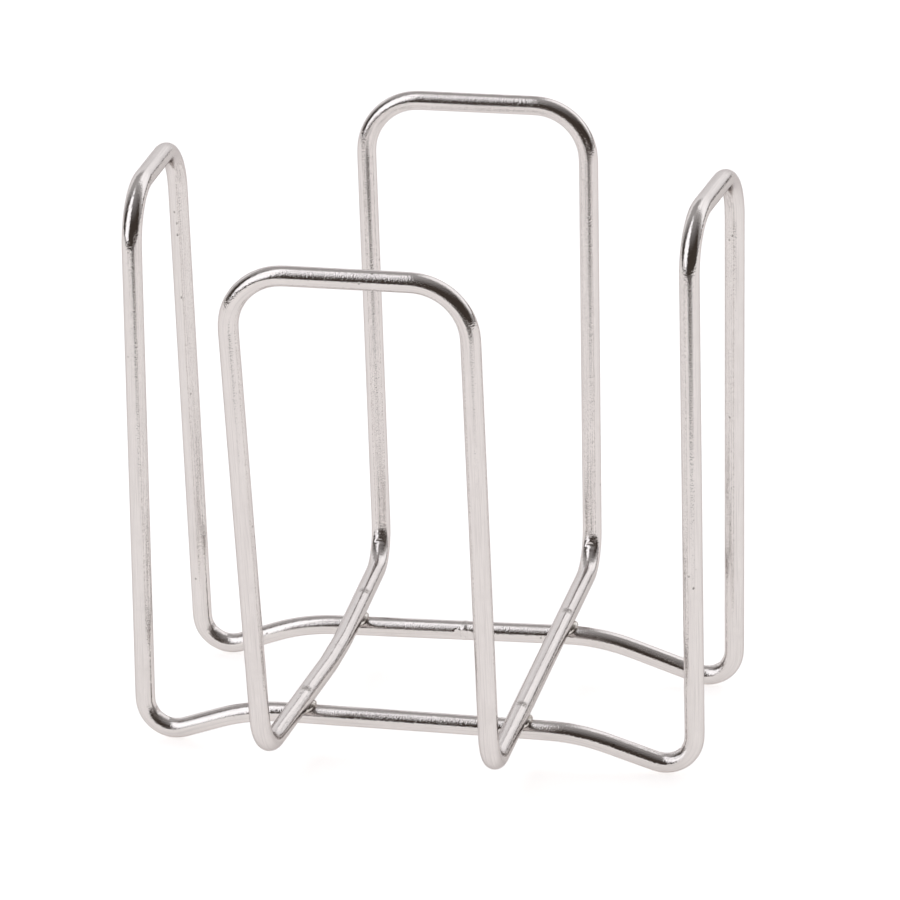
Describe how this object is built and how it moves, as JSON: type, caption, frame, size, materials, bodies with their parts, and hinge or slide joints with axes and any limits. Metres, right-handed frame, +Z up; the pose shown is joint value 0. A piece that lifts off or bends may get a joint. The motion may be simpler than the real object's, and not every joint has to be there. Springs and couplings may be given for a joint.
{
  "type": "toast rack",
  "caption": "Free-standing rack of two crossed bent-wire loops welded together, whose tall hoops hold a stack of toast slices or napkins from every side.",
  "frame": {"origin": "middle of the rack's bounding box, on the surface that it stands on", "axes": "+Z up; +X to the right, across the side hoops; +Y to the back, across the end hoops, so the front hoop faces -Y"},
  "size_m": [0.148, 0.146, 0.1445],
  "materials": {
    "wire": "satin polished stainless steel wire",
    "weld": "weld metal, brushed over"
  },
  "bodies": {
    "root": {"side_loop": "wire", "end_loop": "wire", "side_loop_butt_weld": "weld", "end_loop_butt_weld": "weld", "front_left_cross_weld": "weld", "front_right_cross_weld": "weld", "back_left_cross_weld": "weld", "back_right_cross_weld": "weld"}
  },
  "joints": []
}
